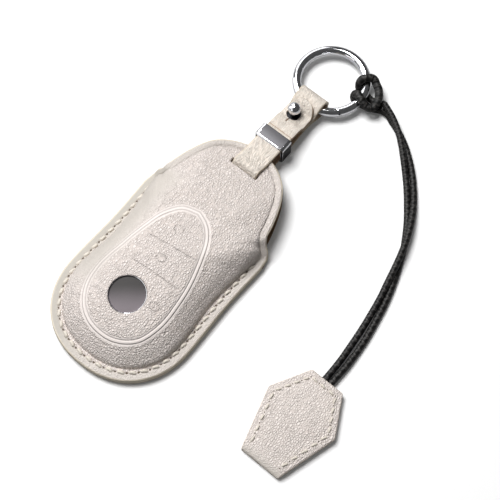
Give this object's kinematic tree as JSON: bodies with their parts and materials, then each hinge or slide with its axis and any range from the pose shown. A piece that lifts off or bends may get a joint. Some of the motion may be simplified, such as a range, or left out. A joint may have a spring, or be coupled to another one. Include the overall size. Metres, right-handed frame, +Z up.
{
  "type": "key fob cover",
  "caption": "Moulded cream leather cover for a smart key, with a strap closed on a ball stud, a gated key ring and a corded leather tag.",
  "frame": {"origin": "middle of the footprint of the cover, strap and ring (without the cord and the tag), on the table under the back panel", "axes": "+Y along the cover from its closed tail towards the key ring, +Z up out of the domed front, +X to the right seen from above with the ring up"},
  "size_m": [0.1177, 0.1632, 0.0159],
  "materials": {
    "cover_leather": "pebbled grain",
    "lining_leather": "flesh side",
    "thread": "waxed thread",
    "badge_metal": "satin",
    "strap_leather": "fine grain",
    "satin_metal": "satin",
    "chrome_metal": "polished",
    "spring_steel": "drawn wire",
    "cord": "waxed braid"
  },
  "bodies": {
    "cover": {"front_panel": "cover_leather", "front_lining": "lining_leather", "back_panel": "cover_leather", "back_lining": "lining_leather", "seam_thread": "thread", "badge_disc": "badge_metal", "strap_band": "strap_leather", "ball_stud": "chrome_metal", "stud_screw": "chrome_metal"},
    "keeper_body": {"keeper": "satin_metal"},
    "tongue": {"strap_tongue": "strap_leather"},
    "ring": {"ring_body": "chrome_metal", "gate_pin": "chrome_metal", "gate_spring": "spring_steel"},
    "gate": {"ring_gate": "chrome_metal"},
    "lanyard": {"cord_hitch": "cord", "cord_run_a": "cord", "cord_run_b": "cord", "cord_ends": "cord", "tag_leather": "cover_leather", "tag_thread": "thread"}
  },
  "joints": [
    {"name": "keeper_slide", "type": "slide", "parent": "cover", "child": "keeper_body", "axis": [0, 1, 0], "range_m": [-0.0028, 0.001]},
    {"name": "tongue_lift", "type": "hinge", "parent": "cover", "child": "tongue", "pos_m": [0, 0.0347, 0.0091], "axis": [1, 0, 0], "range_deg": [0, 75]},
    {"name": "ring_swing", "type": "hinge", "parent": "cover", "child": "ring", "pos_m": [0.0007, 0.05332, 0.0042], "axis": [1, 0, 0], "range_deg": [-60, 60]},
    {"name": "gate_open", "type": "hinge", "parent": "ring", "child": "gate", "pos_m": [0.01056, 0.05663, 0.0042], "axis": [0, 0, 1], "range_deg": [0, 35], "stiffness_Nm_per_rad": 0.01},
    {"name": "hitch_slide", "type": "hinge", "parent": "ring", "child": "lanyard", "pos_m": [0.0007, 0.06615, 0.0042], "axis": [0, 0, 1], "range_deg": [-5, 180]}
  ]
}
